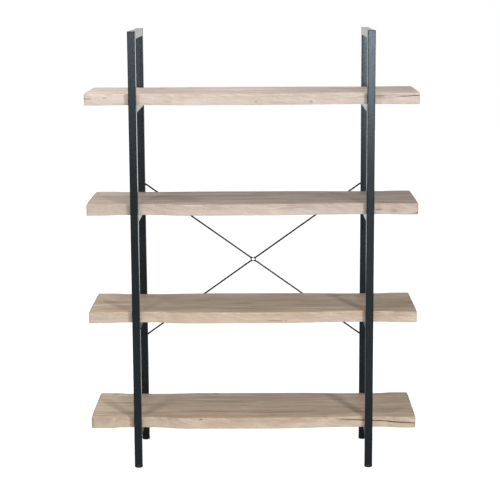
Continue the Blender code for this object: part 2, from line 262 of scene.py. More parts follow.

# Each board, from the top down: colours with that of its long edges last, which is painted light
# on the edge faces, its place in the log, knots, cracks, dark streaks and worn corners.
# A knot is x, y, height above the underside and radius, with None for a y on the front edge.
# A crack runs along the front edge: x from, x to, height from, height to and width.
# A dark streak lies on the top face: x from, x to, y, half its width and its strength.
# The top board's first one is a broad darkening over the right part of its top: painted shade.
# Worn corners are radii: front left, front right, rear left, rear right.
boards = (
    {
        "light": "E4D7CB", "dark": "C0AE9C", "edge": "CFC1B7", "log": (0.3, 0.02, 0.11),
        "knots": ((0.194, None, 0.009, 0.0045), (0.014, None, 0.011, 0.0035),
                  (-0.31, 0.09, 0.037, 0.009), (0.41, -0.02, 0.0, 0.008)),
        "cracks": ((-0.549, -0.528, 0.0215, 0.0205, 0.0018), (-0.490, -0.470, 0.0235, 0.0235, 0.0016),
                   (0.402, 0.440, 0.0265, 0.0255, 0.0018), (0.470, 0.549, 0.0250, 0.0275, 0.0022)),
        # Painted shade: the first streak here is a broad darkening over the right part of the top
        "streaks": ((-0.02, 0.62, 0.0, 0.22, 0.5), (0.10, 0.38, -0.09, 0.016, 0.6),
                    (0.42, 0.54, -0.05, 0.012, 0.6)),
        "worn": (0.007, 0.005, 0.006, 0.008),
    },
    {
        "light": "D6C8BB", "dark": "AB9887", "edge": "DFD2C8", "log": (1.7, 0.05, -0.20),
        "knots": ((0.47, None, 0.012, 0.005), (0.24, 0.05, 0.037, 0.008),
                  (-0.12, -0.06, 0.0, 0.009)),
        "cracks": ((0.405, 0.432, 0.0150, 0.0165, 0.0013), (0.525, 0.549, 0.0040, 0.0060, 0.0018)),
        "streaks": ((-0.09, 0.05, -0.110, 0.006, 0.8), (0.12, 0.37, 0.009, 0.018, 0.5),
                    (-0.26, -0.18, -0.010, 0.012, 0.6), (0.41, 0.52, -0.131, 0.010, 0.7)),
        "worn": (0.005, 0.006, 0.007, 0.005),
    },
    {
        "light": "DDCAB3", "dark": "B19A80", "edge": "E7D7C7", "log": (-2.3, -0.03, 0.07),
        "knots": ((0.111, None, 0.009, 0.0045), (0.33, 0.08, 0.037, 0.007),
                  (-0.40, 0.03, 0.0, 0.010)),
        "cracks": ((0.05, 0.10, 0.0085, 0.0075, 0.0011),),
        "streaks": ((-0.55, -0.41, -0.101, 0.006, 0.8), (-0.18, 0.02, -0.109, 0.005, 0.9),
                    (-0.08, 0.04, -0.021, 0.007, 0.6), (0.07, 0.28, -0.024, 0.010, 0.5),
                    (-0.31, -0.18, 0.099, 0.011, 0.6), (0.40, 0.54, -0.127, 0.006, 0.6)),
        "worn": (0.006, 0.005, 0.006, 0.006),
    },
    {
        "light": "E9D7BE", "dark": "B8A084", "edge": "E3D3C2", "log": (3.1, 0.01, -0.13),
        "knots": ((-0.493, 0.132, 0.037, 0.0075), (-0.136, 0.142, 0.037, 0.0085),
                  (-0.177, None, 0.033, 0.0035), (0.2, 0.0, 0.0, 0.009)),
        "cracks": ((0.280, 0.549, 0.0275, 0.0165, 0.0029), (-0.190, -0.165, 0.0335, 0.0330, 0.0012)),
        "streaks": ((-0.31, 0.00, -0.090, 0.006, 0.9), (-0.08, 0.22, -0.101, 0.006, 0.9),
                    (0.16, 0.37, -0.124, 0.006, 0.7), (-0.14, -0.02, 0.032, 0.006, 0.6),
                    (0.41, 0.54, -0.134, 0.006, 0.6), (-0.55, -0.45, -0.138, 0.006, 0.7),
                    (0.16, 0.28, 0.135, 0.010, 0.6)),
        "worn": (0.015, 0.006, 0.007, 0.006),
    },
)

sides = ("left", "right")
ends = ("front", "rear")

# A range and settings that many shader nodes share
full = (0, 1)
smooth = {"interpolation_type": "SMOOTHSTEP"}
coloured = {"data_type": "RGBA"}


# Shared helpers

def linear(hex_colour):
    """sRGB hex text to linear RGBA."""
    channels = [int(hex_colour[i:i + 2], 16) / 255 for i in (0, 2, 4)]
    return [c / 12.92 if c <= 0.04045 else ((c + 0.055) / 1.055) ** 2.4 for c in channels] + [1]


def feed(tree, node, inputs):
    """Sets the inputs of a shader node, or links them where the value is a node's output."""
    for name, value in inputs.items():
        if isinstance(value, bpy.types.NodeSocket):
            tree.links.new(value, node.inputs[name])
        else:
            node.inputs[name].default_value = value


def add(tree, kind, settings=None, inputs=None, output=0):
    """Adds a shader node with its settings and its values or links, and returns one output."""
    node = tree.nodes.new("ShaderNode" + kind)
    for name, value in (settings or {}).items():
        setattr(node, name, value)
    feed(tree, node, inputs or {})
    return node.outputs[output] if node.outputs else None


def ramp(value, source, result):
    """What a map-range node takes: a value, the range it comes in and the one it goes out in."""
    return {"Value": value, "From Min": source[0], "From Max": source[1],
            "To Min": result[0], "To Max": result[1]}


def blank_material(name):
    """A material with one Principled shader, and its node tree."""
    material = bpy.data.materials.new(name)
    material.use_nodes = True
    return material, material.node_tree, material.node_tree.nodes["Principled BSDF"]


def mesh_from(bm, name):
    """A mesh with doubles merged, faces turned outwards and round parts shaded smooth."""
    bmesh.ops.remove_doubles(bm, verts=bm.verts, dist=merge_distance)
    bmesh.ops.recalc_face_normals(bm, faces=bm.faces)
    mesh = bpy.data.meshes.new(name)
    bm.to_mesh(mesh)
    bm.free()
    mesh.shade_smooth()
    mesh.set_sharp_from_angle(angle=smooth_angle)
    return mesh


def show(name, mesh, body, slot, material, *stands_for):
    """Puts a mesh in the scene as a piece that rides on a body, made of one material.

    A mesh that already has its materials comes with None for it.
    """
    if material:
        mesh.materials.clear()
        mesh.materials.append(material)
    piece = bpy.data.objects.new(name, mesh)
    bpy.context.scene.collection.objects.link(piece)
    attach(piece, body)
    if stands_for:
        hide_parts(*stands_for)


def combined(mesh, cutter, operation):
    """The mesh after a Boolean with another mesh, both in place, less the slivers that it leaves."""
    target = bpy.data.objects.new("target", mesh)
    tool = bpy.data.objects.new("tool", cutter)
    for item in (target, tool):
        bpy.context.scene.collection.objects.link(item)
    step = target.modifiers.new("cut", 'BOOLEAN')
    step.operation = operation
    step.solver = 'EXACT'
    step.material_mode = 'TRANSFER'
    step.object = tool
    seen = target.evaluated_get(bpy.context.evaluated_depsgraph_get())
    result = bpy.data.meshes.new_from_object(seen)
    for item in (target, tool):
        bpy.data.objects.remove(item)
    bm = bmesh.new()
    bm.from_mesh(result)
    bmesh.ops.remove_doubles(bm, verts=bm.verts, dist=sliver_length)
    bmesh.ops.dissolve_degenerate(bm, edges=bm.edges, dist=sliver_length)
    bm.to_mesh(result)
    bm.free()
    return result


def turned(name, profile, steps=round_sides):
    """A profile of (radius, height) points turned about Z into a closed solid."""
    bm = bmesh.new()
    points = [bm.verts.new((radius, 0, height)) for radius, height in profile]
    lines = [bm.edges.new(pair) for pair in zip(points, points[1:])]
    bmesh.ops.spin(bm, geom=points + lines, cent=(0, 0, 0), axis=(0, 0, 1), angle=math.tau,
                   steps=steps, use_merge=True)
    return mesh_from(bm, name)


def loft(bm, placements, segments):
    """Skins a row of unit circles, each set by its own matrix, and closes both ends."""
    previous = None
    for placement in placements:
        ring = bmesh.ops.create_circle(bm, segments=segments, radius=1)["verts"]
        bmesh.ops.transform(bm, verts=ring, matrix=placement)
        rim = list({edge for vert in ring for edge in vert.link_edges})
        if previous is None:
            bmesh.ops.edgeloop_fill(bm, edges=rim)
        else:
            bmesh.ops.bridge_loops(bm, edges=previous + rim)
        previous = rim
    bmesh.ops.edgeloop_fill(bm, edges=previous)


def hexagon_corner(across_flats):
    """Radius to the corners of a hexagon."""
    return across_flats / 2 / math.cos(math.pi / hexagon_sides)


def prism(name, across_flats, height):
    """A hexagonal bar about Z, from z = 0 up."""
    bm = bmesh.new()
    corner = hexagon_corner(across_flats)
    bmesh.ops.create_circle(bm, segments=hexagon_sides, radius=corner, cap_ends=True)
    grown = bmesh.ops.extrude_face_region(bm, geom=bm.faces[:])["geom"]
    top = [item for item in grown if isinstance(item, bmesh.types.BMVert)]
    bmesh.ops.translate(bm, verts=top, vec=(0, 0, height))
    return mesh_from(bm, name)


def thread(name, radius, pitch, length):
    """A threaded bar about Z from z = 0 up: one ridge wound as a helix, cut square at both ends.

    The helix starts and ends with spare turns, which the cuts take off.
    """
    bm = bmesh.new()
    root = radius - thread_depth_share * pitch
    low = -thread_spare_turns * pitch
    ridge = [(root, low), (radius, low + thread_crest[0] * pitch),
             (radius, low + thread_crest[1] * pitch), (root, low + pitch)]
    points = [bm.verts.new((x, 0, z)) for x, z in ridge]
    lines = [bm.edges.new(pair) for pair in zip(points, points[1:])]
    turns = math.ceil(length / pitch) + 2 * thread_spare_turns
    bmesh.ops.spin(bm, geom=points + lines, cent=(0, 0, 0), axis=(0, 0, 1),
                   dvec=(0, 0, pitch / thread_steps), angle=math.tau * turns,
                   steps=thread_steps * turns, use_merge=False)
    bmesh.ops.remove_doubles(bm, verts=bm.verts, dist=merge_distance)
    for height, outward in ((0, -1), (length, 1)):
        everything = bm.verts[:] + bm.edges[:] + bm.faces[:]
        bmesh.ops.bisect_plane(bm, geom=everything, plane_co=(0, 0, height),
                               plane_no=(0, 0, outward), clear_outer=True)
    bmesh.ops.holes_fill(bm, edges=[edge for edge in bm.edges if edge.is_boundary])
    return mesh_from(bm, name)


def placed(mesh, matrix):
    """A copy of a mesh, moved to its place."""
    copy = mesh.copy()
    copy.transform(matrix)
    return copy


# Materials

def powder_coat():
    """Epoxy powder baked on steel tube: near-black with a cold cast, satin, with fine orange peel.

    The peel has no colour of its own: it only breaks up the edge of a highlight.
    """
    material, tree, shader = blank_material("black_powder_coat")
    place = add(tree, "TexCoord", output="Object")
    handling = add(tree, "TexNoise", {}, {"Vector": place, "Scale": 1 / handling_spacing,
                                          "Detail": 4.0})
    colour = add(tree, "Mix", coloured, {"Factor": handling, 6: linear(coat_colours[0]),
                                         7: linear(coat_colours[1])}, 2)
    gloss = add(tree, "MapRange", {}, ramp(handling, full, coat_roughness))
    peel = add(tree, "TexNoise", {}, {"Vector": place, "Scale": 1 / peel_spacing, "Detail": 2.0})
    bump = add(tree, "Bump", {}, {"Height": peel, "Distance": peel_depth, "Strength": 1.0})
    feed(tree, shader, {"Base Color": colour, "Roughness": gloss, "Normal": bump,
                        "Specular Tint": linear(coat_sheen)})
    return material


def black_nylon():
    """Glass-filled nylon from a spark-eroded mould: black, duller than the coat, finely pitted.

    The pits are drawn about ten times coarser than real ones, which no picture would show.
    """
    material, tree, shader = blank_material("black_nylon")
    place = add(tree, "TexCoord", output="Object")
    pits = add(tree, "TexNoise", {}, {"Vector": place, "Scale": 1 / spark_grain, "Detail": 3.0})
    colour = add(tree, "Mix", coloured, {"Factor": pits, 6: linear(nylon_colours[0]),
                                         7: linear(nylon_colours[1])}, 2)
    gloss = add(tree, "MapRange", {}, ramp(pits, full, nylon_roughness))
    bump = add(tree, "Bump", {}, {"Height": pits, "Distance": peel_depth, "Strength": 1.0})
    feed(tree, shader, {"Base Color": colour, "Roughness": gloss, "Normal": bump})
    return material


def zinc_plate():
    """Bright zinc electroplated on rolled steel: a grey metal, slightly cloudy from handling."""
    material, tree, shader = blank_material("zinc_plated_steel")
    place = add(tree, "TexCoord", output="Object")
    cloud = add(tree, "TexNoise", {}, {"Vector": place, "Scale": 1 / spark_grain, "Detail": 3.0})
    colour = add(tree, "Mix", coloured, {"Factor": cloud, 6: linear(zinc_colours[0]),
                                         7: linear(zinc_colours[1])}, 2)
    gloss = add(tree, "MapRange", {}, ramp(cloud, full, zinc_roughness))
    feed(tree, shader, {"Base Color": colour, "Roughness": gloss, "Metallic": 1})
    return material


def shaded_crack_walls():
    """Crack walls: raw, matt wood with torn fibres, painted dark as the shade inside the crack."""
    material, tree, shader = blank_material("crack_shade_oak")
    place = add(tree, "TexCoord", output="Object")
    fibres = add(tree, "TexNoise", {}, {"Vector": place, "Scale": 1 / pore_width, "Detail": 3.0})
    colour = add(tree, "Mix", coloured, {"Factor": fibres, 6: linear(crack_shade_colours[0]),
                                         7: linear(crack_shade_colours[1])}, 2)
    feed(tree, shader, {"Base Color": colour, "Roughness": crack_roughness})
    return material


def grain_place(tree, place, board):
    """Coordinates that bend slowly along the log and spread round each knot, and a knot mask."""
    bends = add(tree, "TexNoise", {}, {"Vector": place, "Scale": 1 / grain_bend_length,
                                       "Detail": 2.0}, "Color")
    centred = add(tree, "VectorMath", {"operation": "SUBTRACT"}, {0: bends, 1: (0.5, 0.5, 0.5)})
    shift = add(tree, "VectorMath", {"operation": "MULTIPLY"},
                {0: centred, 1: (0, grain_bend, grain_bend)})
    grain = add(tree, "VectorMath", {"operation": "ADD"}, {0: place, 1: shift})
    knots = None
    for x, y, z, radius in board["knots"]:
        if y is None:
            y = front_at(board, x)
        offset = add(tree, "VectorMath", {"operation": "SUBTRACT"},
                     {0: place, 1: (x, y, z + board["underside"])})
        longer = add(tree, "VectorMath", {"operation": "MULTIPLY"},
                     {0: offset, 1: (knot_squeeze, 1, 1)})
        reach = add(tree, "VectorMath", {"operation": "LENGTH"}, {0: longer}, "Value")
        spread = add(tree, "MapRange", smooth,
                     ramp(reach, (0, knot_reach * radius), (knot_spread, 0)))
        across = add(tree, "VectorMath", {"operation": "MULTIPLY"}, {0: offset, 1: (0, 1, 1)})
        move = add(tree, "VectorMath", {"operation": "SCALE"}, {0: across, "Scale": spread})
        grain = add(tree, "VectorMath", {"operation": "SUBTRACT"}, {0: grain, 1: move})
        heart = add(tree, "MapRange", smooth,
                    ramp(reach, (knot_core_share * radius, radius), (1, 0)))
        if knots:
            heart = add(tree, "Math", {"operation": "MAXIMUM"}, {0: knots, 1: heart})
        knots = heart
    return add(tree, "VectorMath", {"operation": "ADD"}, {0: grain, 1: board["log"]}), knots


def along_grain(tree, grain, length, width, detail, slant=0):
    """Noise drawn out along the grain to streaks of about that length and width."""
    drawn = add(tree, "Mapping", {"vector_type": "TEXTURE"},
                {"Vector": grain, "Rotation": (0, slant, 0), "Scale": (length, width, width)})
    return add(tree, "TexNoise", {}, {"Vector": drawn, "Scale": 1.0, "Detail": detail,
                                      "Roughness": streak_roughness})


def dark_streaks_and_shade(tree, place, board, fibres):
    """A mask of the board's own long dark streaks and of the painted shade among them, feathered by
    the fibres round them.
    """
    mask = None
    for x_from, x_to, y, half_width, strength in board["streaks"]:
        middle = ((x_from + x_to) / 2, y, board["top"])
        size = ((x_to - x_from) / 2, half_width, streak_depth)
        spot = add(tree, "Mapping", {"vector_type": "TEXTURE"},
                   {"Vector": place, "Location": middle, "Scale": size})
        away = add(tree, "VectorMath", {"operation": "LENGTH"}, {0: spot}, "Value")
        streak = add(tree, "MapRange", smooth, ramp(away, streak_fade, (strength, 0)))
        if mask:
            streak = add(tree, "Math", {"operation": "MAXIMUM"}, {0: mask, 1: streak})
        mask = streak
    feather = add(tree, "MapRange", {}, ramp(fibres, feather_fade, feather_strength))
    return add(tree, "Math", {"operation": "MULTIPLY"}, {0: mask, 1: feather})


def washed_oak(board, number):
    """Sawn oak, brushed and washed with a pale stain, with no varnish over it.

    The brush leaves soft streaks and short pores, and knots and mineral streaks show through the
    wash brown. The long edges are evener in colour and mixed towards an edge colour, most of all low
    down, which is painted light: a highlight along the lower edge. Streaks, rings and pores are drawn
    two or three times coarser than real ones, because a picture of the whole bookcase has one pixel
    for over 3 mm of it.
    """
    material, tree, shader = blank_material(f"washed_oak_{number}")
    place = add(tree, "TexCoord", output="Object")
    facing = add(tree, "TexCoord", output="Normal")
    grain, knots = grain_place(tree, place, board)
    streaks = along_grain(tree, grain, streak_length, streak_width, 3.0)
    broad = along_grain(tree, grain, broad_length, broad_width, 2.0)
    pores = along_grain(tree, grain, pore_length, pore_width, 1.0)
    minerals = along_grain(tree, grain, mineral_length, mineral_width, 2.0)
    strokes = along_grain(tree, grain, stroke_length, stroke_width, 2.0, stroke_slant)
    blush = along_grain(tree, grain, blush_length, blush_width, 1.0)

    # Rings round the log: a wave texture of scale 1 has 20 of them in tau metres
    rings = add(tree, "TexWave", {"wave_type": "RINGS", "rings_direction": "X"},
                {"Vector": grain, "Scale": math.tau / 20 / ring_spacing,
                 "Distortion": ring_waviness, "Detail": 3.0, "Detail Scale": 8.0,
                 "Detail Roughness": streak_roughness})

    # Long edges cut across the rings, so they show slanting strokes instead of streaks
    sideways = add(tree, "SeparateXYZ", {}, {0: facing}, "Y")
    edge = add(tree, "Math", {"operation": "ABSOLUTE"}, {0: sideways})

    # Tone: how far each spot goes from the light wash to the darker wood
    soft = add(tree, "MapRange", {}, ramp(strokes, full, stroke_range))
    lines = add(tree, "Mix", {}, {"Factor": edge, 2: streaks, 3: soft})
    first = add(tree, "Mix", {}, {"Factor": ring_share, 2: lines, 3: rings})
    second = add(tree, "Mix", {}, {"Factor": broad_share, 2: first, 3: broad})
    tone = add(tree, "MapRange", smooth, ramp(second, tone_fade, full))
    wood = add(tree, "Mix", coloured, {"Factor": tone, 6: linear(board["light"]),
                                       7: linear(board["dark"])}, 2)

    # Hue: parts of the wash lean to pink
    pink = add(tree, "MapRange", smooth, ramp(blush, blush_fade, (0, blush_strength)))
    wood = add(tree, "Mix", {"data_type": "RGBA", "blend_type": "MULTIPLY"},
               {"Factor": pink, 6: wood, 7: linear(blush_colour)}, 2)

    # Pores, mineral streaks, dark streaks with the top board's painted shade, and knots
    pore_mask = add(tree, "MapRange", {}, ramp(pores, pore_fade, (0, pore_strength)))
    mineral_mask = add(tree, "MapRange", smooth,
                       ramp(minerals, mineral_fade, (0, mineral_strength)))
    streak_and_shade_mask = dark_streaks_and_shade(tree, place, board, streaks)
    knot_mask = add(tree, "Math", {"operation": "MULTIPLY"}, {0: knots, 1: knot_strength})

    # Long edges: evener in colour and mixed towards the board's edge colour, most of all low
    # down: painted light, a highlight along the lower edge
    height = add(tree, "SeparateXYZ", {}, {0: place}, "Z")
    low = add(tree, "MapRange", smooth,
              ramp(height, (board["underside"], board["top"]), painted_edge_light))
    painted_edge_light_mask = add(tree, "Math", {"operation": "MULTIPLY"}, {0: edge, 1: low})

    # Each mark covers the ones before it
    for mask, colour in ((pore_mask, pore_colour), (mineral_mask, mineral_colour),
                         (streak_and_shade_mask, streak_and_shade_colour), (knot_mask, knot_colour),
                         (painted_edge_light_mask, board["edge"])):
        wood = add(tree, "Mix", coloured, {"Factor": mask, 6: wood, 7: linear(colour)}, 2)

    gloss = add(tree, "MapRange", {}, ramp(tone, full, oak_roughness))
    relief = add(tree, "Math", {"operation": "ADD"}, {0: streaks, 1: pore_mask})
    bump = add(tree, "Bump", {"invert": True}, {"Height": relief, "Distance": grain_depth,
                                                "Strength": grain_bump})
    feed(tree, shader, {"Base Color": wood, "Roughness": gloss, "Normal": bump})
    return material


# Boards

def edge_line(node, rear):
    """The CAD shelf's long edge as sorted x and y, without its rounded corners."""
    low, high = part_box(node)
    middle = (low.y + high.y) / 2
    reach = (high.y - low.y) * edge_zone_share
    spots = sorted({(round(v.co.x, place_digits), round(v.co.y, place_digits))
                    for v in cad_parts[node].data.vertices
                    if low.z + arris_wear < v.co.z < high.z - arris_wear
                    and abs(v.co.y - middle) > reach and (v.co.y > middle) == rear
                    and abs(v.co.x) < high.x - corner_skip})
    return [x for x, _ in spots], [y for _, y in spots]


def board_stations(half_length):
    """Places along a board, closer together where its corners are rounded."""
    straight = half_length - largest_corner
    count = round(2 * straight / board_station)
    middle = [straight * (2 * step / count - 1) for step in range(count + 1)]
    turns = [math.pi / 2 * step / corner_steps for step in range(1, corner_steps + 1)]
    end = [straight + largest_corner * math.sin(a) for a in turns]
    return [-x for x in reversed(end)] + middle + end


def corner_inset(x, half_length, radius):
    """How far a rounded corner draws the long edge in at x."""
    past = max(abs(x) - (half_length - radius), 0)
    return radius - math.sqrt(max(radius * radius - past * past, 0))


def wander(seed, x, y, length):
    """Smooth irregular value from 0 to 1, about that length from one swell to the next."""
    return (noise.noise(Vector((x / length, y / length, seed))) + 1) / 2


def board_edges(node, number, board, stations):
    """Front and rear y of a board at each station: the CAD edge, worn in a little everywhere."""
    half_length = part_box(node)[1].x
    lines = []
    for rear in (False, True):
        known_x, known_y = edge_line(node, rear)
        inward = -1 if rear else 1
        line = []
        for x in stations:
            left = x < 0
            radius = board["worn"][2 * rear + (not left)]
            y = np.interp(x, known_x, known_y)
            y += inward * edge_wander * wander(number + rear_seed * rear, x, 0, edge_wander_length)
            line.append(float(y) + inward * corner_inset(x, half_length, radius))
        lines.append(line)
    return lines


def front_at(board, x):
    """The y of a board's front edge at x."""
    return float(np.interp(x, *board["front"]))


def board_blank(node, number, board):
    """The board as a fine grid with its uneven edges, hewn edge faces and worn arrises."""
    low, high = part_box(node)
    stations = board_stations(high.x)
    front, rear = board_edges(node, number, board, stations)
    board["front"] = (stations, front)
    bm = bmesh.new()
    bmesh.ops.create_grid(bm, x_segments=len(stations) - 1, y_segments=board_rows, size=1)
    for vert in bm.verts:
        column = round((vert.co.x + 1) / 2 * (len(stations) - 1))
        share = (vert.co.y + 1) / 2
        vert.co = (stations[column], front[column] + (rear[column] - front[column]) * share, low.z)
    sheet = bm.faces[:]
    step = (high.z - low.z) / board_layers
    moved = sheet
    for layer in range(board_layers):
        grown = bmesh.ops.extrude_face_region(bm, geom=moved)["geom"]
        if layer:
            bmesh.ops.delete(bm, geom=moved, context='FACES_ONLY')
        points = [item for item in grown if isinstance(item, bmesh.types.BMVert)]
        moved = [item for item in grown if isinstance(item, bmesh.types.BMFace)]
        bmesh.ops.translate(bm, verts=points, vec=(0, 0, step))
    bmesh.ops.recalc_face_normals(bm, faces=bm.faces)
    wear_edges(bm, number, low, high)
    rims = [edge for edge in bm.edges if is_arris(edge)]
    bmesh.ops.bevel(bm, geom=rims, offset=arris_radius, segments=arris_steps, profile=0.5,
                    affect='EDGES', material=-1)
    return mesh_from(bm, node)


def is_arris(edge):
    """True where a flat face of the board meets one of its edge faces."""
    if len(edge.link_faces) != 2:
        return False
    level = [abs(face.normal.z) > level_normal for face in edge.link_faces]
    return level[0] != level[1]


def wear_edges(bm, number, low, high):
    """Hollows the edge faces as if hewn, and knocks the arrises back here and there."""
    wall = {vert for face in bm.faces if abs(face.normal.z) < level_normal
            for vert in face.verts}
    for vert in wall:
        x, y, z = vert.co
        inward = -1 if y > 0 else 1
        hollow = hewn_depth * wander(number + hewn_seed, x, y + z, hewn_length)
        is_rim = min(z - low.z, high.z - z) < merge_distance
        if is_rim:
            hollow += arris_wear * wander(number + wear_seed, x, y + z, arris_wear_length) ** 2
        if abs(x) > high.x - merge_distance:
            vert.co.x -= math.copysign(hollow, x)
        else:
            vert.co.y += inward * hollow


def crack_sections(board, number, crack):
    """The diamonds that a crack's wedge runs through, a little crooked and narrow at its tips."""
    x_from, x_to, z_from, z_to, width = crack
    count = max(crack_fewest_parts, round((x_to - x_from) / board_station))
    runs_out = abs(x_to) > edge_reach or abs(x_from) > edge_reach
    stand = Euler((math.pi / 2, 0, math.pi / 2)).to_matrix().to_4x4()
    sections = []
    for step in range(count + 1):
        share = step / count
        x = x_from + (x_to - x_from) * share
        from_tip = min(share, 1 - share)
        if runs_out:
            from_tip = share if x_to > 0 else 1 - share
        taper = min(1, crack_tip_share + crack_widening * from_tip)
        z = z_from + (z_to - z_from) * share
        z += crack_wander * (wander(number, x, 0, crack_wander_length) - 0.5)
        spot = Matrix.Translation((x, front_at(board, x), board["underside"] + z))
        size = Matrix.Diagonal((crack_depth * taper, width / 2 * taper, 1, 1))
        sections.append(spot @ stand @ size)
    return sections


def crack_cutter(board):
    """Thin wedges along the board's front edge, one for each crack."""
    bm = bmesh.new()
    for number, crack in enumerate(board["cracks"]):
        loft(bm, crack_sections(board, number, crack), crack_sides)
    return mesh_from(bm, "cracks")


def build_boards():
    """A dressed board for each of the CAD's shelves, with its cracks cut in."""
    # Crack walls: raw wood with painted shade
    raw = shaded_crack_walls()
    for number, board in enumerate(boards, 1):
        node = f"shelf_{number}"
        low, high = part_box(node)
        board["underside"], board["top"] = low.z, high.z
        mesh = board_blank(node, number, board)
        mesh.materials.append(washed_oak(board, number))
        cracks = crack_cutter(board)
        cracks.materials.append(raw)
        mesh = combined(mesh, cracks, 'DIFFERENCE')
        show(f"{node}_board", mesh, "frames_and_shelves", "washed_oak", None, node)


# Welds

def bead(bm, start, end, across, proud):
    """One weld bead between two points, along X or Z: overlapping ripples, drawn in at both ends."""
    start = Vector(start)
    reach = Vector(end) - start
    turn = reach.to_track_quat('Z', 'X').to_matrix().to_4x4()
    count = 2 * bead_ripples
    sections = []
    for step in range(count + 1):
        share = step / count
        fade = (1 - abs(2 * share - 1) ** bead_bluntness) ** 0.5
        size = max(fade, bead_tip_share) * (1 - ripple_share * (step % 2))
        sections.append(Matrix.Translation(start + reach * share) @ turn
                        @ Matrix.Diagonal((proud * size, across * size, 1, 1)))
    loft(bm, sections, bead_sides)


def rail_welds(rail, front_upright, rear_upright):
    """The beads of one rail: a seam on both side faces at each end, and a fillet beneath."""
    low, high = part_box(rail)
    joints = ((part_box(front_upright)[1].y + low.y) / 2, (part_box(rear_upright)[0].y + high.y) / 2)
    bm = bmesh.new()
    for y in joints:
        for x in (low.x, high.x):
            bead(bm, (x, y, low.z + bead_radius), (x, y, high.z - bead_radius),
                 seam_width / 2, seam_height)
        bead(bm, (low.x + bead_radius, y, low.z), (high.x - bead_radius, y, low.z),
             bead_radius, bead_radius)
    return mesh_from(bm, "weld")


def build_welds(coat):
    """One piece of weld beads for each rail, in the gaps between rail and uprights."""
    for side in sides:
        rails = [f"{side}_top_rail"] + [f"{side}_shelf_rail_{n}" for n in range(1, 5)]
        for rail in rails:
            mesh = rail_welds(rail, f"{side}_front_upright", f"{side}_rear_upright")
            show(f"{rail}_welds", mesh, "frames_and_shelves", "black_powder_coat", coat)


# Screws, bolts and nuts

def dome(radius, height):
    """Profile points of a domed head that points down, from its crown to its rim."""
    rim = dome_rim_share * height
    turns = [math.pi / 2 * step / dome_steps for step in range(dome_steps + 1)]
    return [(radius * math.sin(a), -rim - (height - rim) * math.cos(a)) for a in turns]


def screw_mesh(length):
    """A pan-head wood screw about Z, head down, with a cross recess and its thread."""
    core = screw_radius - thread_depth_share * screw_pitch + thread_inset
    profile = dome(screw_head_radius, screw_head_height) + [
        (screw_head_radius, 0), (screw_radius, 0), (screw_radius, screw_plain_length),
        (core, screw_plain_length), (core, length - screw_tip_length), (0, length)]
    screw = turned("screw", profile, thread_steps)
    ridge = thread("ridge", screw_radius - thread_inset, screw_pitch,
                   length - screw_plain_length - screw_tip_length)
    ridge = placed(ridge, Matrix.Translation((0, 0, screw_plain_length - screw_pitch / 2)))
    screw = combined(screw, ridge, 'UNION')
    for turn in (0, math.pi / 2):
        slot = bpy.data.meshes.new("slot")
        bm = bmesh.new()
        bmesh.ops.create_cube(bm, size=1)
        bm.to_mesh(slot)
        bm.free()
        size = Matrix.Diagonal((recess_length, recess_width, 2 * recess_depth, 1))
        spot = Matrix.Translation((0, 0, -screw_head_height))
        slot.transform(spot @ Matrix.Rotation(turn, 4, 'Z') @ size)
        screw = combined(screw, slot, 'DIFFERENCE')
    return screw


def bolt_mesh(length):
    """A button-head bolt about Z, head down, with a hexagon socket and a fine thread."""
    profile = dome(bolt_head_radius, bolt_head_height)
    profile += [(bolt_head_radius, 0), (bolt_radius, 0), (bolt_radius, bolt_neck), (0, bolt_neck)]
    bolt = turned("bolt", profile)
    shank = placed(thread("shank", bolt_radius - thread_inset, bolt_pitch, length - bolt_pitch),
                   Matrix.Translation((0, 0, bolt_pitch)))
    bolt = combined(bolt, shank, 'UNION')
    socket = placed(prism("socket", socket_across_flats, 2 * socket_depth),
                    Matrix.Translation((0, 0, -bolt_head_height - socket_depth)))
    return combined(bolt, socket, 'DIFFERENCE')


def nut_mesh(height):
    """A hexagon nut about Z from z = 0 up, its corners chamfered on both faces."""
    corner = hexagon_corner(nut_across_flats)
    limit = turned("limit", [(0, 0), (corner - nut_chamfer, 0), (corner, nut_chamfer / 2),
                             (corner, height - nut_chamfer / 2), (corner - nut_chamfer, height),
                             (0, height)])
    nut = combined(prism("nut", nut_across_flats, height), limit, 'INTERSECT')
    bore_radius = rod_end_radius + rod_clearance
    bore = turned("bore", [(0, -height), (bore_radius, -height), (bore_radius, 2 * height),
                           (0, 2 * height)])
    return combined(nut, bore, 'DIFFERENCE')


def build_screws(zinc):
    """The same zinc-plated wood screw in the place of each of the CAD's shelf screws."""
    low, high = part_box("shelf_1_left_front_screw")
    mesh = screw_mesh(high.z - low.z - screw_head_height)
    for number in range(1, len(boards) + 1):
        for side in sides:
            for end in ends:
                node = f"shelf_{number}_{side}_{end}_screw"
                low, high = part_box(node)
                seat = ((low.x + high.x) / 2, (low.y + high.y) / 2, low.z + screw_head_height)
                show(f"{node}_cross_head", placed(mesh, Matrix.Translation(seat)),
                     "frames_and_shelves", "zinc_plated_steel", zinc, node)


def build_brace(coat):
    """Rods with threaded inner ends and forged eyes, the nuts on them and the eye bolts."""
    ring_low, ring_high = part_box("brace_ring")
    middle = (ring_low + ring_high) / 2
    bolt_low, bolt_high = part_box("lower_left_brace_bolt")
    bolt = bolt_mesh(bolt_high.y - bolt_low.y - bolt_head_height)
    for level in ("lower", "upper"):
        for side in sides:
            corner = f"{level}_{side}"
            low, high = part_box(f"{corner}_brace_bolt")
            seat = Vector(((low.x + high.x) / 2, high.y - bolt_head_height, (low.z + high.z) / 2))
            into = Matrix.Rotation(math.pi / 2, 4, 'X')
            show(f"{corner}_socket_bolt", placed(bolt, Matrix.Translation(seat) @ into),
                 "frames_and_shelves", "black_powder_coat", coat, f"{corner}_brace_bolt")
            reach = Vector((seat.x - middle.x, 0, seat.z - middle.z))
            aim = Matrix.Rotation(math.atan2(reach.x, reach.z), 4, 'Y')
            build_rod(corner, coat, middle, aim, reach.length, ring_high.z - middle.z)


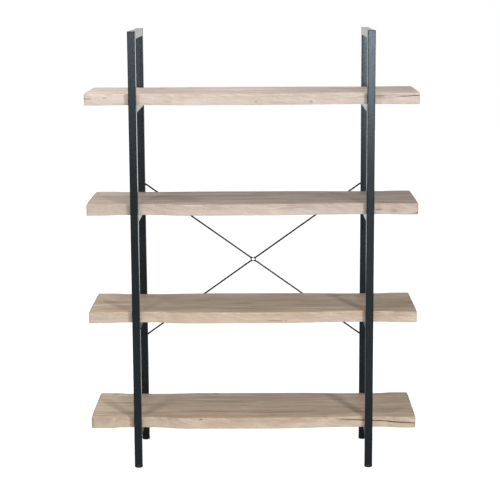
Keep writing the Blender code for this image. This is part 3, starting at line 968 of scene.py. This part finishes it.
def build_rod(corner, coat, middle, aim, length, ring_radius):
    """One rod and its nut, laid out from the ring's middle towards the bolt."""
    nut = nut_mesh(nut_height)
    seat = Matrix.Translation((0, 0, ring_radius + rod_clearance))
    show(f"{corner}_hexagon_nut", placed(nut, Matrix.Translation(middle) @ aim @ seat),
         "frames_and_shelves", "black_powder_coat", coat, f"{corner}_rod_nut")
    start = ring_radius - ring_wall - rod_end_stickout
    shoulder = ring_radius + rod_clearance + nut_height + rod_thread_runout
    rod = placed(thread("rod", rod_end_radius, rod_pitch, shoulder + rod_pitch - start),
                 Matrix.Translation((0, 0, start)))
    rod = combined(rod, rod_shaft(shoulder, length), 'UNION')
    rod = combined(rod, rod_eye(length), 'UNION')
    show(f"{corner}_threaded_rod", placed(rod, Matrix.Translation(middle) @ aim),
         "frames_and_shelves", "black_powder_coat", coat, f"{corner}_brace_rod")


def rod_shaft(start, length):
    """The plain round stretch of a rod from its shoulder on, forged flat towards its eye."""
    taper_start = length - eye_length - rod_taper_length / 2
    sections = [Matrix.Translation((0, 0, start)) @ Matrix.Scale(rod_end_radius, 4)]
    for height, flatness in ((start + rod_shoulder, 1), (taper_start, 1),
                             (taper_start + rod_taper_length / 2, rod_half_flat_share),
                             (taper_start + rod_taper_length, rod_flat_share)):
        shift = (1 - flatness) / (1 - rod_flat_share) * (eye_thickness / 2 - rod_radius)
        sections.append(Matrix.Translation((0, shift, height))
                        @ Matrix.Diagonal((rod_radius, rod_radius * flatness, 1, 1)))
    bm = bmesh.new()
    loft(bm, sections, round_sides)
    return mesh_from(bm, "shaft")


def rod_eye(length):
    """The flat eye round the bolt: a disc drawn down at one side to a neck, with eased rims."""
    bm = bmesh.new()
    ring = bmesh.ops.create_circle(bm, segments=round_sides, radius=eye_radius, cap_ends=True)
    bmesh.ops.rotate(bm, verts=ring["verts"], cent=(0, 0, 0),
                     matrix=Matrix.Rotation(math.pi / 2, 3, 'X'))
    for vert in bm.verts:
        if vert.co.z < -eye_radius * eye_round_share:
            share = (-vert.co.z / eye_radius - eye_round_share) / (1 - eye_round_share)
            neck = math.copysign(rod_radius, vert.co.x)
            vert.co.x += (neck - vert.co.x) * min(share / eye_neck_share, 1)
            vert.co.z -= (eye_length - eye_radius) * share
    grown = bmesh.ops.extrude_face_region(bm, geom=bm.faces[:])["geom"]
    moved = [item for item in grown if isinstance(item, bmesh.types.BMVert)]
    bmesh.ops.translate(bm, verts=moved, vec=(0, eye_thickness, 0))
    bmesh.ops.recalc_face_normals(bm, faces=bm.faces)
    rims = [edge for edge in bm.edges
            if abs(edge.verts[0].co.y - edge.verts[1].co.y) < merge_distance]
    bmesh.ops.bevel(bm, geom=rims, offset=eye_rim, segments=eye_rim_steps, profile=0.5,
                    affect='EDGES', material=-1)
    bmesh.ops.translate(bm, verts=bm.verts[:], vec=(0, -rod_radius, length))
    return mesh_from(bm, "eye")


# Levelling feet

def pad_mesh():
    """The moulded pad: rounded below, a parting groove round its waist, a flat top."""
    turns = [math.pi / 2 * step / dome_steps for step in range(dome_steps + 1)]
    lower = [(pad_radius - pad_lower_rounding + pad_lower_rounding * math.sin(a),
              pad_lower_rounding - pad_lower_rounding * math.cos(a)) for a in turns]
    upper = [(pad_radius - pad_upper_rounding + pad_upper_rounding * math.cos(a),
              pad_height - pad_upper_rounding + pad_upper_rounding * math.sin(a)) for a in turns]
    waist = (pad_lower_rounding + pad_height) / 2
    groove = [(pad_radius, waist - pad_groove), (pad_radius - pad_groove, waist),
              (pad_radius, waist + pad_groove)]
    return turned("pad", [(0, 0)] + lower + groove + upper + [(0, pad_height)], 2 * round_sides)


def foot_screw_mesh(length):
    """The zinc-plated screw of a foot, with its thread chamfered at the tip."""
    screw = thread("foot_screw", foot_screw_radius, foot_pitch, length)
    limit = turned("limit", [
        (0, 0), (2 * foot_screw_radius, 0),
        (2 * foot_screw_radius, length - foot_screw_tip - foot_screw_radius),
        (foot_screw_radius - foot_screw_tip, length), (0, length)])
    return combined(screw, limit, 'INTERSECT')


def build_feet(nylon, zinc):
    """A moulded pad and its threaded screw for each foot, riding on the foot's own body."""
    pad = pad_mesh()
    low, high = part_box("left_front_foot")
    screw = foot_screw_mesh(high.z - low.z - pad_height)
    for side in sides:
        for end in ends:
            corner = f"{side}_{end}"
            low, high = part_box(f"{corner}_foot")
            spot = ((low.x + high.x) / 2, (low.y + high.y) / 2, low.z)
            body = f"{corner}_leveller"
            show(f"{corner}_foot_pad", placed(pad, Matrix.Translation(spot)), body,
                 "black_nylon", nylon, f"{corner}_foot")
            lift = Matrix.Translation((0, 0, pad_height))
            show(f"{corner}_foot_screw", placed(screw, Matrix.Translation(spot) @ lift), body,
                 "zinc_plated_steel", zinc)


# Tubes, ring, caps and plugs

def finish_frame(coat, nylon):
    """Gives the nodes that keep their CAD shapes their finishes."""
    for name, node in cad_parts.items():
        if node.hide_render:
            continue
        moulded = name.endswith(("_cap", "_plug"))
        node.data.materials.clear()
        node.data.materials.append(nylon if moulded else coat)


# Studio

def directly_seen(tree):
    """The kinds of ray, and a mask of those that show a thing itself and not its light."""
    rays = tree.nodes.new("ShaderNodeLightPath").outputs
    return rays, add(tree, "Math", {"operation": "MAXIMUM"},
                     {0: rays["Is Camera Ray"], 1: rays["Is Transmission Ray"]})


def build_world():
    """White to the camera, dim to matt surfaces and dimmest from the front, and to gloss a studio.

    Gloss sees a white backdrop behind the bookcase, lit brightest low down, and a dim room in
    front, as in a studio whose lamps are its only bright things on the camera's side.
    """
    world = bpy.data.worlds.new("studio")
    world.use_nodes = True
    tree = world.node_tree
    tree.nodes.clear()
    rays, seen = directly_seen(tree)
    direction = add(tree, "TexCoord", output="Generated")
    rearward = add(tree, "SeparateXYZ", {}, {0: direction}, "Y")
    upward = add(tree, "SeparateXYZ", {}, {0: direction}, "Z")
    ambient = add(tree, "MapRange", smooth, ramp(rearward, ambient_fade, ambient_strength))
    plain = add(tree, "Mix", {}, {"Factor": seen, 2: ambient, 3: background_strength})
    behind = add(tree, "MapRange", smooth,
                 ramp(rearward, backdrop_fade, (room_strength, background_strength)))
    low_glare = add(tree, "MapRange", {}, ramp(upward, glare_fade, (backdrop_glare, 1)))
    studio = add(tree, "Math", {"operation": "MULTIPLY"}, {0: behind, 1: low_glare})
    strength = add(tree, "Mix", {}, {"Factor": rays["Is Glossy Ray"], 2: plain, 3: studio})
    light = add(tree, "Background", {}, {"Color": (1, 1, 1, 1), "Strength": strength})
    add(tree, "OutputWorld", {}, {"Surface": light})
    bpy.context.scene.world = world


def build_floor():
    """A round pale floor that shows white, less so near the bookcase, whose shadow it keeps.

    Gloss sees it dim, up to the white backdrop that starts behind the bookcase.
    """
    bm = bmesh.new()
    bmesh.ops.create_circle(bm, segments=floor_segments, radius=floor_radius, cap_ends=True)
    floor = bpy.data.objects.new("floor", mesh_from(bm, "floor"))
    bpy.context.scene.collection.objects.link(floor)
    material, tree, shader = blank_material("studio_floor")
    rays, seen = directly_seen(tree)
    place = add(tree, "TexCoord", output="Object")
    away = add(tree, "VectorMath", {"operation": "LENGTH"}, {0: place}, "Value")
    white = add(tree, "MapRange", smooth, ramp(away, glow_reach, glow_strength))
    rearward = add(tree, "SeparateXYZ", {}, {0: place}, "Y")
    sweep = add(tree, "MapRange", smooth,
                ramp(rearward, backdrop_reach, (floor_mirrored, backdrop_glare)))
    mirrored = add(tree, "Math", {"operation": "MULTIPLY"}, {0: rays["Is Glossy Ray"], 1: sweep})
    glow = add(tree, "Math", {"operation": "MULTIPLY_ADD"}, {0: seen, 1: white, 2: mirrored})
    feed(tree, shader, {"Base Color": (floor_grey, floor_grey, floor_grey, 1),
                        "Roughness": floor_roughness, "Emission Color": (1, 1, 1, 1),
                        "Emission Strength": glow})
    floor.data.materials.append(material)


def build_lamps():
    """Square soft lamps, all turned to the middle of the bookcase."""
    for name, (place, side, power) in lamps.items():
        data = bpy.data.lights.new(name, 'AREA')
        data.size = side
        data.energy = power
        lamp = bpy.data.objects.new(name, data)
        bpy.context.scene.collection.objects.link(lamp)
        lamp.location = place
        reach = Vector(lamp_target) - Vector(place)
        lamp.rotation_euler = reach.to_track_quat('-Z', 'Y').to_euler()


def build_camera():
    """The photograph's camera, which looks to the rear and a little down."""
    data = bpy.data.cameras.new("camera")
    data.sensor_width = sensor_width_mm
    data.lens = focal_pixels * sensor_width_mm / picture_side
    camera = bpy.data.objects.new("camera", data)
    bpy.context.scene.collection.objects.link(camera)
    turn = (Matrix.Rotation(-camera_yaw, 4, 'Z')
            @ Matrix.Rotation(math.pi / 2 - camera_pitch, 4, 'X')
            @ Matrix.Rotation(camera_roll, 4, 'Z'))
    camera.matrix_world = Matrix.Translation(camera_place) @ turn
    bpy.context.scene.camera = camera


build_camera()
coat = powder_coat()
nylon = black_nylon()
zinc = zinc_plate()
build_boards()
build_welds(coat)
build_screws(zinc)
build_brace(coat)
build_feet(nylon, zinc)
finish_frame(coat, nylon)
build_world()
build_floor()
build_lamps()
bpy.context.scene.view_settings.view_transform = "Standard"
